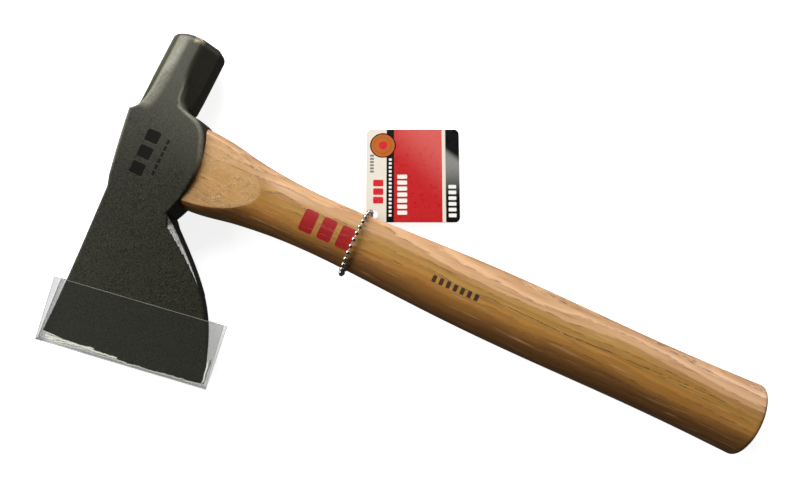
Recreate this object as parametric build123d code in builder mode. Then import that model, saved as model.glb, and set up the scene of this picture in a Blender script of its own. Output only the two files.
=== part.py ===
from build123d import *
from math import atan2, cos, pi, radians, sin
import os

# A half hatchet lying on its cheek: forged head, wedged wooden handle, clear
# folded blade guard, and a hang tag on a ball chain looped round the neck.
# +X runs along the handle from the head to the butt, +Y points from the blade
# to the poll, +Z is up through the cheeks.  The origin is on the resting cheek,
# under the centre of the eye.  All sizes are in millimetres.

# ---------------------------------------------------------------- head sizes
HEAD_THICKNESS = 26.0  # across the cheeks
MID = HEAD_THICKNESS / 2  # height of the hatchet's middle plane
POLL_FACE_Y = 59.6
POLL_FRONT_X = -22.8
POLL_REAR_X = 3.3
POLL_CHAMFER = 7.4  # the slanted sides of the octagonal poll
POLL_RIM = 4.0  # rounding round the striking face
NECK_Y = 36.0  # the eye block reaches this far up inside the poll
NECK_REAR_CURVE = [(-1.7, 26.4), (5.5, 22.3)]  # from the poll down to the eye block
NECK_FRONT_CURVE = [(-17.2, 20.6), (-15.2, 31.0)]  # from the shoulder up to the poll
SHOULDER_Y = 13.3  # where the poll's front side meets the cheek
TOE = (-15.0, -101.4)
EDGE_BELLY = (26.4, -98.9)
HEEL = (67.1, -92.2)
THROAT = (16.6, -26.3)
REAR_CURVE = [(32.4, -39.4), (55.3, -64.7)]  # the blade's rear side, throat to heel
EYE_BACK = (21.2, -3.0)
EYE_TOP = (14.3, 21.4)
EYE_FRONT_LOW = (-17.0, -20.5)
BLADE_FRONT_TOP = (-15.5, -26.0)
FRONT_STEP_ROUND = 1.5  # rounding of the two corners at the foot of the eye block
CHEEK_END = -10.0  # the cheek is flat down to here, then the blade tapers
TAPER_UPS = [-28.0, -46.0, -64.0, -80.0, -92.0]  # heights that shape the hollow taper
TAPER_POWER = 1.35
EDGE_HALF = 0.25  # half of the cutting edge's thickness
BEVEL_AT_THROAT = 4.4  # width of the ground bevel along the blade's rear side
BEVEL_END = 0.5  # where the bevel runs out, as a share of the rear side
BEVEL_STATIONS = 4
PROFILE_TOP = 90.0  # the side profile reaches past the poll
PROFILE_REACH = 120.0
BEVEL_RUN_OUT = 0.3  # width that the bevel keeps at its last station
CLEAR = 2.0  # how far a cutting shape reaches past the piece it cuts
SKIN = 0.01  # and how far it stands above a face it starts from

# ----------------------------------------------------------------- eye sizes
EYE_DEPTH = 33.0  # along Y, at the handle's side
EYE_WIDTH = 15.5  # along Z, at the handle's side
EYE_FLARE = 2.4  # how much wider and deeper the eye is at the front
EYE_REAR_X = 26.0
EYE_FRONT_X = -26.0
FIT_GAP = 0.08  # left round each wooden face that sits in steel

# -------------------------------------------------------------- handle sizes
# place along X, half depth (Y), half thickness (Z), squareness of the section
HANDLE_STATIONS = [
    (10.0, 20.4, 13.0, 3.4),
    (27.0, 19.7, 12.9, 3.3),
    (43.0, 17.1, 11.7, 2.6),
    (54.0, 15.7, 9.9, 2.3),
    (65.0, 14.7, 9.8, 2.2),
    (90.0, 14.1, 9.8, 2.15),
    (120.0, 15.2, 10.2, 2.2),
    (160.0, 16.9, 11.6, 2.3),
    (205.0, 17.3, 12.4, 2.35),
    (250.0, 16.9, 12.4, 2.35),
    (285.0, 17.3, 12.7, 2.4),
    (318.0, 18.4, 12.9, 2.4),
]
SECTION_POINTS = 24
FACET_HALF = 9.9  # the shoulder is cut flat this far above and below the middle
FACET_END_X = 58.0
BUTT_X = 312.5
BUTT_DOME_RADIUS = 46.0
BUTT_DOME_Y = 2.2  # the dome is highest this far above the axis
BUTT_DOME_ANGLE = 40.0  # half of the arc that the dome turns through
BUTT_STOCK_X = 340.0  # past the end of the uncut handle
TENON_PROUD = 0.6  # the tenon stands this far out of the eye's front

# --------------------------------------------------------------- wedge sizes
KERF_ROOT_X = 8.0  # the saw cut runs from the tenon's end to here
KERF_MOUTH = 3.0  # thickness of the saw cut at the tenon's end, opened by the wedge
KERF_ROOT = 0.8
WOOD_WEDGE_TIP_X = 5.0
STEEL_WEDGE_WIDTH = 11.5
STEEL_WEDGE_LENGTH = 13.0
STEEL_WEDGE_BACK = 2.2  # thickness at the struck end
STEEL_WEDGE_TIP = 0.7
STEEL_WEDGE_OFFSET = 8.5  # from the eye's centre, up and down
STEEL_WEDGE_TURN = 76.0  # degrees between each steel wedge and the saw cut

# --------------------------------------------------------------- guard sizes
GUARD_TURN = 8.5  # degrees between the fold and the handle
GUARD_LENGTH = 85.8
GUARD_START = -31.5  # along the fold, from the point nearest to the origin
GUARD_MOUTH = 72.0  # distance from the origin, square to the fold
GUARD_FOLD = 103.2
GUARD_SHEET = 0.5
GUARD_FOLD_HALF = 1.0  # half of the gap inside the fold, to the sheet's middle
GUARD_MOUTH_HALF = 3.9

# ----------------------------------------------------------------- tag sizes
TAG_WIDTH = 47.6
TAG_HEIGHT = 49.3
TAG_CARD = 0.5
TAG_CORNER = 2.6
TAG_TURN = 24.6  # degrees between the tag's lower edge and the handle
TAG_HOLE_INSET = (3.9, 4.1)  # hole centre from the tag's two nearest edges
TAG_HOLE_RADIUS = 2.3
TAG_HOLE_X = 105.2
TAG_LIFT = 3.3  # the card's lower edge stands this high, on the chain
TAG_FAR_EDGE = 0.05  # height of the card's far edge

# --------------------------------------------------------------- chain sizes
CHAIN_X = 104.1
BEAD_RADIUS = 1.2
BEAD_WALL = 0.2
BEAD_HOLE_RADIUS = 0.42
BEAD_PITCH = 3.42  # nominal; the loop's length rounds it to whole beads
LINK_RADIUS = 0.25
LINK_HEAD_RADIUS = 0.5
LINK_HEAD_LENGTH = 0.3
LINK_SEAT = 0.45  # from a bead's centre to the end of the link's head
CONNECTOR_PLAY = 0.12  # round the beads inside it
CONNECTOR_WALL = 0.22
CONNECTOR_MOUTH = 0.95  # radius of the opening at each end
CONNECTOR_SLOT = 0.7
CONNECTOR_OVERHANG = 0.5  # past the bead it holds, at each end
CONNECTOR_BEAD = 19  # the first of the two beads that it holds, from zero
# the loop in the plane square to the handle, as (Y, Z), from the tag's hole
LOOP_POINTS = [
    (17.6, 3.2),
    (17.4, 8.5),
    (15.6, 16.0),
    (11.0, 22.0),
    (3.5, 24.9),
    (-5.0, 24.6),
    (-12.9, 20.2),
    (-16.9, 12.8),
    (-15.5, 6.8),
    (-10.0, 3.3),
    (-3.2, 1.6),
    (7.0, 1.4),
    (13.6, 1.4),
]

os.makedirs("parts", exist_ok=True)


def save(solid, label):
    """Labels a finished piece and writes it to its own file."""
    solid.label = label
    export_step(solid, f"parts/{label}.step")


def across(x):
    """The plane square to the handle at x: its own x is Y, its own y is Z."""
    return Plane(origin=(x, 0, MID), x_dir=(0, 1, 0), z_dir=(1, 0, 0))


def superellipse(half_depth, half_thickness, squareness):
    """Points of a rounded section, evenly spread by angle."""
    points = []
    for i in range(SECTION_POINTS):
        c = cos(2 * pi * i / SECTION_POINTS)
        s = sin(2 * pi * i / SECTION_POINTS)
        u = half_depth * abs(c) ** (2 / squareness)
        v = half_thickness * abs(s) ** (2 / squareness)
        points.append((u if c >= 0 else -u, v if s >= 0 else -v))
    return points


# ------------------------------------------------------------------ the head
edge_angle = atan2(HEEL[1] - TOE[1], HEEL[0] - TOE[0])
edge_along = Vector(cos(edge_angle), sin(edge_angle), 0)
edge_up = Vector(-sin(edge_angle), cos(edge_angle), 0)
edge_low = Vector(*EDGE_BELLY, 0).dot(edge_up)


def blade_half(up):
    """Half thickness of the blade at a distance up square to its edge."""
    share = (CHEEK_END - up) / (CHEEK_END - edge_low)
    return EDGE_HALF + (MID - EDGE_HALF) * (1 - share) ** TAPER_POWER


taper_ups = [CHEEK_END, *TAPER_UPS]
taper_top = [(up, MID + blade_half(up)) for up in taper_ups]
taper_bottom = [(up, MID - blade_half(up)) for up in taper_ups]
front_flat_x = POLL_FRONT_X + POLL_CHAMFER
rear_flat_x = POLL_REAR_X - POLL_CHAMFER

with BuildPart() as head:
    # plan of the eye and blade, with a neck as wide as the poll's top flat
    with BuildSketch(Plane.XY) as plan:
        with BuildLine():
            Line((front_flat_x, NECK_Y), (rear_flat_x, NECK_Y))
            ThreePointArc((rear_flat_x, NECK_Y), *NECK_REAR_CURVE)
            Line(NECK_REAR_CURVE[1], EYE_TOP)
            ThreePointArc(EYE_TOP, EYE_BACK, THROAT)
            rear_side = Spline(THROAT, *REAR_CURVE, HEEL)
            ThreePointArc(HEEL, EDGE_BELLY, TOE)
            Polyline(TOE, BLADE_FRONT_TOP, EYE_FRONT_LOW, (POLL_FRONT_X, SHOULDER_Y))
            ThreePointArc((POLL_FRONT_X, SHOULDER_Y), *NECK_FRONT_CURVE)
            Line(NECK_FRONT_CURVE[1], (front_flat_x, NECK_Y))
        make_face()
        step_corners = plan.vertices().filter_by_position(Axis.Y, THROAT[1] - 0.1, BLADE_FRONT_TOP[1])
        fillet(step_corners, radius=FRONT_STEP_ROUND)
    extrude(amount=HEAD_THICKNESS)
    # side profile: flat cheeks, then the long hollow taper of the blade
    profile_plane = Plane(origin=(0, 0, 0), x_dir=edge_up, z_dir=edge_along)
    with BuildSketch(profile_plane):
        with BuildLine():
            Line((PROFILE_TOP, HEAD_THICKNESS), taper_top[0])
            Spline(*taper_top)
            Polyline(
                taper_top[-1],
                (edge_low, MID + EDGE_HALF),
                (edge_low, MID - EDGE_HALF),
                taper_bottom[-1],
            )
            Spline(*taper_bottom)
            Polyline(taper_bottom[0], (PROFILE_TOP, 0), (PROFILE_TOP, HEAD_THICKNESS))
        make_face()
    extrude(amount=PROFILE_REACH, both=True, mode=Mode.INTERSECT)
    # octagonal poll, from the striking face down into the eye block
    poll_plane = Plane(origin=(0, POLL_FACE_Y, MID), x_dir=(1, 0, 0), z_dir=(0, -1, 0))
    with BuildSketch(poll_plane):
        with BuildLine():
            Polyline(
                (front_flat_x, MID),
                (rear_flat_x, MID),
                (POLL_REAR_X, MID - POLL_CHAMFER),
                (POLL_REAR_X, POLL_CHAMFER - MID),
                (rear_flat_x, -MID),
                (front_flat_x, -MID),
                (POLL_FRONT_X, POLL_CHAMFER - MID),
                (POLL_FRONT_X, MID - POLL_CHAMFER),
                close=True,
            )
        make_face()
    extrude(amount=POLL_FACE_Y - SHOULDER_Y)
    fillet(head.faces().sort_by(Axis.Y)[-1].edges(), radius=POLL_RIM)

    # oval eye, a little wider at the front so that the wedges can spread the tenon
    with BuildSketch(across(EYE_REAR_X)):
        Ellipse(EYE_DEPTH / 2, EYE_WIDTH / 2)
    with BuildSketch(across(EYE_FRONT_X)):
        Ellipse((EYE_DEPTH + EYE_FLARE) / 2, (EYE_WIDTH + EYE_FLARE) / 2)
    loft(mode=Mode.SUBTRACT)
    # ground bevels along both sides of the blade's rear edge, fading downwards
    for top_side in (True, False):
        for i in range(BEVEL_STATIONS):
            share = BEVEL_END * i / (BEVEL_STATIONS - 1)
            place = rear_side @ share
            half = blade_half(place.dot(edge_up))
            width = BEVEL_AT_THROAT * (1 - share / BEVEL_END) + BEVEL_RUN_OUT
            height = MID + half if top_side else MID - half
            toward = 1 if top_side else -1
            along = rear_side % share
            outward = along.cross(Vector(0, 0, -1))
            cut_plane = Plane(origin=(place.X, place.Y, height), x_dir=outward, z_dir=along)
            with BuildSketch(cut_plane):
                with BuildLine():
                    Polyline(
                        (-width, toward * SKIN),
                        (CLEAR, toward * SKIN),
                        (CLEAR, -toward * width),
                        close=True,
                    )
                make_face()
        loft(mode=Mode.SUBTRACT)
save(head.part, "head")

# ---------------------------------------------------------------- the wedges
face_up = (Vector(POLL_FRONT_X, SHOULDER_Y) - Vector(*EYE_FRONT_LOW)).normalized()
face_out = face_up.cross(Vector(0, 0, -1))
axis_share = -EYE_FRONT_LOW[1] / face_up.Y
face_centre = Vector(*EYE_FRONT_LOW) + face_up * axis_share + Vector(0, 0, MID)
tenon_end = Plane(origin=face_centre + face_out * TENON_PROUD, x_dir=face_up, z_dir=face_out)


with BuildPart() as eye_fill:
    with BuildSketch(across(EYE_REAR_X)):
        Ellipse(EYE_DEPTH / 2 - FIT_GAP, EYE_WIDTH / 2 - FIT_GAP)
    with BuildSketch(across(EYE_FRONT_X)):
        Ellipse((EYE_DEPTH + EYE_FLARE) / 2 - FIT_GAP, (EYE_WIDTH + EYE_FLARE) / 2 - FIT_GAP)
    loft()
    split(bisect_by=tenon_end, keep=Keep.BOTTOM)


def saw_cut(tip_x):
    """The tapered slot along the eye's long side, from outside down to tip_x."""
    slope = (KERF_MOUTH - KERF_ROOT) / 2 / (KERF_ROOT_X - face_centre.X)
    tip_half = KERF_ROOT / 2 + slope * (KERF_ROOT_X - tip_x)
    mouth_half = KERF_ROOT / 2 + slope * (KERF_ROOT_X - EYE_FRONT_X)
    with BuildPart() as slot:
        with BuildSketch(Plane.XZ):
            with BuildLine():
                Polyline(
                    (EYE_FRONT_X, MID + mouth_half),
                    (tip_x, MID + tip_half),
                    (tip_x, MID - tip_half),
                    (EYE_FRONT_X, MID - mouth_half),
                    close=True,
                )
            make_face()
        extrude(amount=EYE_DEPTH, both=True)
    return slot.part


steel_wedges = []
for side in (1, -1):
    with BuildPart() as steel_wedge:
        for depth, thickness in ((0, STEEL_WEDGE_BACK), (STEEL_WEDGE_LENGTH, STEEL_WEDGE_TIP)):
            with BuildSketch(tenon_end.offset(-depth)):
                with Locations((side * STEEL_WEDGE_OFFSET, 0)):
                    Rectangle(STEEL_WEDGE_WIDTH, thickness, rotation=side * STEEL_WEDGE_TURN)
        loft()
    steel_wedges.append(steel_wedge.part)
save(steel_wedges[0], "steel_wedge_upper")
save(steel_wedges[1], "steel_wedge_lower")

with BuildPart() as wood_wedge:
    add(eye_fill.part)
    add(saw_cut(WOOD_WEDGE_TIP_X), mode=Mode.INTERSECT)
    add(steel_wedges, mode=Mode.SUBTRACT)
save(wood_wedge.part, "wood_wedge")

# ---------------------------------------------------------------- the handle
with BuildPart() as handle:
    for x, half_depth, half_thickness, squareness in HANDLE_STATIONS:
        with BuildSketch(across(x)):
            with BuildLine():
                Spline(*superellipse(half_depth, half_thickness, squareness), periodic=True)
            make_face()
    loft()
    # domed butt, turned about a line a little above the handle's axis
    with BuildSketch(Plane.XY.offset(MID)):
        with BuildLine():
            dome_centre = (BUTT_X - BUTT_DOME_RADIUS, BUTT_DOME_Y)
            dome = CenterArc(dome_centre, BUTT_DOME_RADIUS, 0, BUTT_DOME_ANGLE)
            dome_side = dome @ 1
            Polyline(
                dome_side,
                (BUTT_STOCK_X, dome_side.Y),
                (BUTT_STOCK_X, BUTT_DOME_Y),
                (BUTT_X, BUTT_DOME_Y),
            )
        make_face()
    revolve(axis=Axis((0, BUTT_DOME_Y, MID), (1, 0, 0)), mode=Mode.SUBTRACT)
    # both sides of the shoulder are sawn flat; each flat ends in a tongue on the neck
    for side in (1, -1):
        with BuildSketch(Plane.XY.offset(MID + side * FACET_HALF)):
            with Locations((FACET_END_X / 2, 0)):
                Rectangle(FACET_END_X, 2 * EYE_DEPTH)
        extrude(amount=side * MID, mode=Mode.SUBTRACT)
    # the shoulder is cut to fit the eye's rounded rear side
    with BuildSketch(Plane.XY.offset(-CLEAR)):
        with BuildLine():
            ThreePointArc(*[(x + FIT_GAP, y) for x, y in (EYE_TOP, EYE_BACK, THROAT)])
            Polyline(
                (THROAT[0] + FIT_GAP, THROAT[1]),
                (0, THROAT[1]),
                (0, EYE_TOP[1]),
                (EYE_TOP[0] + FIT_GAP, EYE_TOP[1]),
            )
        make_face()
    extrude(amount=HEAD_THICKNESS + 2 * CLEAR, mode=Mode.SUBTRACT)
    # tenon through the eye, sawn down the middle for the wooden wedge
    add(eye_fill.part)
    add(saw_cut(KERF_ROOT_X), mode=Mode.SUBTRACT)
    add(steel_wedges, mode=Mode.SUBTRACT)
save(handle.part, "handle")

# ----------------------------------------------------------------- the guard
guard_along = Vector(cos(radians(GUARD_TURN)), sin(radians(GUARD_TURN)), 0)
guard_up = Vector(-guard_along.Y, guard_along.X, 0)
guard_origin = guard_along * GUARD_START + Vector(0, 0, MID)
guard_end = Plane(origin=guard_origin, x_dir=guard_up, z_dir=guard_along)
with BuildPart() as guard:
    with BuildSketch(guard_end):
        with BuildLine():
            fold = ThreePointArc(
                (GUARD_FOLD_HALF - GUARD_FOLD, GUARD_FOLD_HALF),
                (-GUARD_FOLD, 0),
                (GUARD_FOLD_HALF - GUARD_FOLD, -GUARD_FOLD_HALF),
            )
            Line(fold @ 0, (-GUARD_MOUTH, GUARD_MOUTH_HALF))
            Line(fold @ 1, (-GUARD_MOUTH, -GUARD_MOUTH_HALF))
        trace(line_width=GUARD_SHEET)
    extrude(amount=GUARD_LENGTH)
save(guard.part, "blade_guard")

# ------------------------------------------------------------------- the tag
hole_y, hole_z = LOOP_POINTS[0]
tag_slope = (TAG_LIFT - TAG_FAR_EDGE) / TAG_HEIGHT
tag_along = Vector(cos(radians(TAG_TURN)), sin(radians(TAG_TURN)), 0)
tag_up = Vector(-tag_along.Y, tag_along.X, -tag_slope).normalized()
tag_face = Plane(
    origin=(TAG_HOLE_X, hole_y, TAG_LIFT - tag_slope * TAG_HOLE_INSET[1]),
    x_dir=tag_along,
    z_dir=tag_along.cross(tag_up),
)
with BuildPart() as tag:
    with BuildSketch(tag_face):
        with Locations((TAG_WIDTH / 2 - TAG_HOLE_INSET[0], TAG_HEIGHT / 2 - TAG_HOLE_INSET[1])):
            RectangleRounded(TAG_WIDTH, TAG_HEIGHT, TAG_CORNER)
    extrude(amount=TAG_CARD)
    # the hole is upright, so that the sloping card swings about an upright line
    with BuildSketch(Plane(origin=(TAG_HOLE_X, hole_y, 0))):
        Circle(TAG_HOLE_RADIUS)
    extrude(amount=2 * TAG_LIFT, mode=Mode.SUBTRACT)
save(tag.part, "hang_tag")

# ----------------------------------------------------------------- the chain
loop_plane = Plane(origin=(CHAIN_X, 0, 0), x_dir=(0, 1, 0), z_dir=(1, 0, 0))
with BuildLine(loop_plane) as loop:
    Spline(*LOOP_POINTS, periodic=True)
loop_edge = loop.edges()[0]
bead_count = round(loop_edge.length / BEAD_PITCH)
pitch = loop_edge.length / bead_count
# the tag's hole lies half way along a link
centres = []
for i in range(bead_count):
    centres.append(loop_edge.position_at((i + 0.5) * pitch, position_mode=PositionMode.LENGTH))
lowest = min(c.Z for c in centres) - BEAD_RADIUS
print(f"loop {loop_edge.length:.1f} mm, {bead_count} beads, pitch {pitch:.3f} mm, lowest {lowest:.3f} mm")

# hollow beads, each with a hole towards either neighbour
for i in range(bead_count):
    here = centres[i]
    with BuildPart() as bead:
        with Locations(here):
            Sphere(BEAD_RADIUS)
            Sphere(BEAD_RADIUS - BEAD_WALL, mode=Mode.SUBTRACT)
        for neighbour in (centres[i - 1], centres[(i + 1) % bead_count]):
            with BuildSketch(Plane(origin=here, z_dir=neighbour - here)):
                Circle(BEAD_HOLE_RADIUS)
            extrude(amount=2 * BEAD_RADIUS, mode=Mode.SUBTRACT)
    save(bead.part, f"chain_bead_{i + 1:02d}")

# wire links with a head inside each bead; the connector stands for one of them
with BuildPart() as links:
    for i in range(bead_count):
        if i == CONNECTOR_BEAD:
            continue
        toward = (centres[(i + 1) % bead_count] - centres[i]).normalized()
        start = Plane(origin=centres[i] + toward * LINK_SEAT, z_dir=toward)
        end = Plane(origin=centres[(i + 1) % bead_count] - toward * LINK_SEAT, z_dir=-toward)
        with BuildSketch(start):
            Circle(LINK_RADIUS)
        extrude(amount=(end.origin - start.origin).length)
        for head_plane in (start, end):
            with BuildSketch(head_plane):
                Circle(LINK_HEAD_RADIUS)
            extrude(amount=LINK_HEAD_LENGTH)
save(links.part, "chain_links")

# slotted tube that holds the chain's two end beads
first, last = centres[CONNECTOR_BEAD], centres[CONNECTOR_BEAD + 1]
connector_along = (last - first).normalized()
half_length = (last - first).length / 2 + BEAD_RADIUS + CONNECTOR_OVERHANG
bore_radius = BEAD_RADIUS + CONNECTOR_PLAY
with BuildPart() as connector:
    middle = Plane(origin=(first + last) / 2, x_dir=(1, 0, 0), z_dir=connector_along)
    with BuildSketch(middle):
        Circle(bore_radius + CONNECTOR_WALL)
    extrude(amount=half_length, both=True)
    fillet(connector.edges(), radius=CONNECTOR_WALL)
    with BuildSketch(middle):
        Circle(bore_radius)
    extrude(amount=half_length - CONNECTOR_WALL, both=True, mode=Mode.SUBTRACT)
    with BuildSketch(middle):
        Circle(CONNECTOR_MOUTH)
        with Locations((0, -bore_radius)):
            Rectangle(CONNECTOR_SLOT, 2 * CONNECTOR_WALL + bore_radius)
    extrude(amount=half_length, both=True, mode=Mode.SUBTRACT)
save(connector.part, "chain_connector")
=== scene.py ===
import math

import bmesh
import bpy
import numpy as np
from mathutils import Matrix, Vector


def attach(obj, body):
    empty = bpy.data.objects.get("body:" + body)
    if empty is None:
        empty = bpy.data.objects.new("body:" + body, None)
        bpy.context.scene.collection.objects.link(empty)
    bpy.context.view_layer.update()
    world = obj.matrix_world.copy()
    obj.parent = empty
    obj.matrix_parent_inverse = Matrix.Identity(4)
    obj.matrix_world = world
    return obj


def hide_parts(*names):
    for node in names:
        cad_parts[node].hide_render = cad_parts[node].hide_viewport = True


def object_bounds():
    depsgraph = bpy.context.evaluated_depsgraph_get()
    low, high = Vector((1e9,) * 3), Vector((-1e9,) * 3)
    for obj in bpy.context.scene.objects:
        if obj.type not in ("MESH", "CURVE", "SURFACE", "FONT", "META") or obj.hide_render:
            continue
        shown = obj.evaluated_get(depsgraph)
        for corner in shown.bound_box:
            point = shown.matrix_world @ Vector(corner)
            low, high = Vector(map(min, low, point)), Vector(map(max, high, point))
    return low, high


# A half hatchet lying on its cheek.  Lengths in the code are metres; inside a
# material they are millimetres, because each material scales its coordinates.
MM = 0.001

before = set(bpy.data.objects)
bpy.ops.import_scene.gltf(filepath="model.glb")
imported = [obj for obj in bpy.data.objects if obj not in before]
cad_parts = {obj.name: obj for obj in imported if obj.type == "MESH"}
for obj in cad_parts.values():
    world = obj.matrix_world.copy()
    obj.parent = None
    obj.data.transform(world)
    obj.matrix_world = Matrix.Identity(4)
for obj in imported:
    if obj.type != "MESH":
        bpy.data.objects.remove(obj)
cad_low, cad_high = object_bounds()
MID_Z = 13.0  # height of the hatchet's middle plane, in millimetres


# ------------------------------------------------------------------ node trees
class Material:
    """One material's node tree, built with short calls.  Values may be sockets or numbers."""

    def __init__(self, name):
        self.data = bpy.data.materials.new(name)
        self.data.use_nodes = True
        self.tree = self.data.node_tree
        self.tree.nodes.clear()
        output = self.tree.nodes.new("ShaderNodeOutputMaterial")
        self.shader = self.tree.nodes.new("ShaderNodeBsdfPrincipled")
        self.tree.links.new(self.shader.outputs[0], output.inputs[0])
        place = self.tree.nodes.new("ShaderNodeTexCoord").outputs["Object"]
        self.place = self.vector("SCALE", place, scale=1 / MM)
        self.x, self.y, self.z = self.split(self.place)

    def feed(self, socket, value):
        if isinstance(value, bpy.types.NodeSocket):
            self.tree.links.new(value, socket)
        elif isinstance(value, (tuple, list)) and socket.type == "RGBA":
            socket.default_value = (*value[:3], 1)
        else:
            socket.default_value = value

    def set(self, **values):
        """Sets the surface's own inputs; an underscore stands for a space."""
        for name, value in values.items():
            self.feed(self.shader.inputs[name.replace("_", " ")], value)

    def math(self, operation, *values, clamp=False):
        node = self.tree.nodes.new("ShaderNodeMath")
        node.operation = operation
        node.use_clamp = clamp
        for socket, value in zip(node.inputs, values):
            self.feed(socket, value)
        return node.outputs[0]

    def plus(self, a, b, clamp=False):
        return self.math("ADD", a, b, clamp=clamp)

    def minus(self, a, b):
        return self.math("SUBTRACT", a, b)

    def times(self, a, b, clamp=False):
        return self.math("MULTIPLY", a, b, clamp=clamp)

    def length(self, a, b):
        return self.math("SQRT", self.plus(self.times(a, a), self.times(b, b)))

    def vector(self, operation, *values, scale=None):
        node = self.tree.nodes.new("ShaderNodeVectorMath")
        node.operation = operation
        for socket, value in zip(node.inputs, values):
            self.feed(socket, value)
        if scale is not None:
            node.inputs["Scale"].default_value = scale
        return node.outputs[0]

    def dot(self, vector, direction):
        node = self.tree.nodes.new("ShaderNodeVectorMath")
        node.operation = "DOT_PRODUCT"
        self.feed(node.inputs[0], vector)
        self.feed(node.inputs[1], direction)
        return node.outputs["Value"]

    def split(self, vector):
        node = self.tree.nodes.new("ShaderNodeSeparateXYZ")
        self.feed(node.inputs[0], vector)
        return node.outputs

    def step(self, value, start, end, low=0.0, high=1.0):
        """Goes smoothly from low to high as value goes from start to end."""
        node = self.tree.nodes.new("ShaderNodeMapRange")
        node.interpolation_type = "SMOOTHSTEP"
        for socket, given in zip(node.inputs, (value, start, end, low, high)):
            self.feed(socket, given)
        return node.outputs[0]

    def mix(self, share, first, second, blend="MIX"):
        node = self.tree.nodes.new("ShaderNodeMix")
        node.data_type = "RGBA"
        node.blend_type = blend
        for index, value in ((0, share), (6, first), (7, second)):
            self.feed(node.inputs[index], value)
        return node.outputs[2]

    def blend(self, share, first, second):
        node = self.tree.nodes.new("ShaderNodeMix")
        for index, value in ((0, share), (2, first), (3, second)):
            self.feed(node.inputs[index], value)
        return node.outputs[0]

    def noise(self, stretch, detail=2.0, roughness=0.5, distortion=0.0, shift=0.0):
        """Noise from 0 to 1; stretch is its frequency along x, y and z, per millimetre."""
        where = self.vector("MULTIPLY", self.place, tuple(stretch))
        if shift:
            where = self.vector("ADD", where, (shift, shift, shift))
        node = self.tree.nodes.new("ShaderNodeTexNoise")
        node.inputs["Scale"].default_value = 1.0
        node.inputs["Detail"].default_value = detail
        node.inputs["Roughness"].default_value = roughness
        node.inputs["Distortion"].default_value = distortion
        self.feed(node.inputs["Vector"], where)
        return node.outputs[0]

    def bump(self, height, distance, strength=1.0):
        """Height is from 0 to 1, and distance is its full height in millimetres."""
        node = self.tree.nodes.new("ShaderNodeBump")
        node.inputs["Strength"].default_value = strength
        node.inputs["Distance"].default_value = distance * MM
        self.feed(node.inputs["Height"], height)
        self.feed(self.shader.inputs["Normal"], node.outputs[0])

    def bar(self, u, v, centre, half, radius, soft=0.12):
        """1 inside a rounded bar in the (u, v) plane, 0 outside."""
        du = self.math("ABSOLUTE", self.minus(u, centre[0]))
        dv = self.math("ABSOLUTE", self.minus(v, centre[1]))
        du = self.math("MAXIMUM", self.minus(du, half[0] - radius), 0.0)
        dv = self.math("MAXIMUM", self.minus(dv, half[1] - radius), 0.0)
        away = self.length(du, dv)
        return self.step(away, radius + soft, radius - soft)

    def stroke(self, u, v, start, end, half_width, soft):
        """1 near the straight line from start to end in the (u, v) plane."""
        length = math.dist(start, end)
        along = ((end[0] - start[0]) / length, (end[1] - start[1]) / length)
        u = self.minus(u, (start[0] + end[0]) / 2)
        v = self.minus(v, (start[1] + end[1]) / 2)
        far = self.plus(self.times(u, along[0]), self.times(v, along[1]))
        side = self.minus(self.times(v, along[0]), self.times(u, along[1]))
        return self.bar(far, side, (0, 0), (length / 2 + half_width, half_width), half_width, soft)

    def most(self, *masks):
        total = masks[0]
        for mask in masks[1:]:
            total = self.math("MAXIMUM", total, mask)
        return total

    def between(self, value, low, high, soft=0.1):
        rise = self.step(value, low - soft, low + soft)
        return self.times(rise, self.step(value, high + soft, high - soft))

    def dashes(self, along, across, start, pitch, count, half, radius, soft=0.1):
        """A row of equal rounded dashes; start is the first one's centre."""
        turn = self.minus(along, start[0] - pitch / 2)
        cell = self.minus(self.math("FLOORED_MODULO", turn, pitch), pitch / 2)
        inside = self.between(turn, 0, pitch * count, 0.02)
        return self.times(inside, self.bar(cell, across, (0, start[1]), half, radius, soft))


# ------------------------------------------------------------------- materials
def head_marks(m):
    """Plain etched bars and a row of small dashes, on the upper cheek only."""
    bars = m.most(*[m.bar(m.x, m.y, (-5.2, y), (3.4, 3.0), 0.8) for y in (-12.4, -3.9, 4.6)])
    small = m.dashes(m.y, m.x, (-11.4, 2.8), 3.3, 6, (1.15, 0.7), 0.4)
    top = m.step(m.z, 20.0, 22.0)
    return m.times(bars, top), m.times(small, top)


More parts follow.
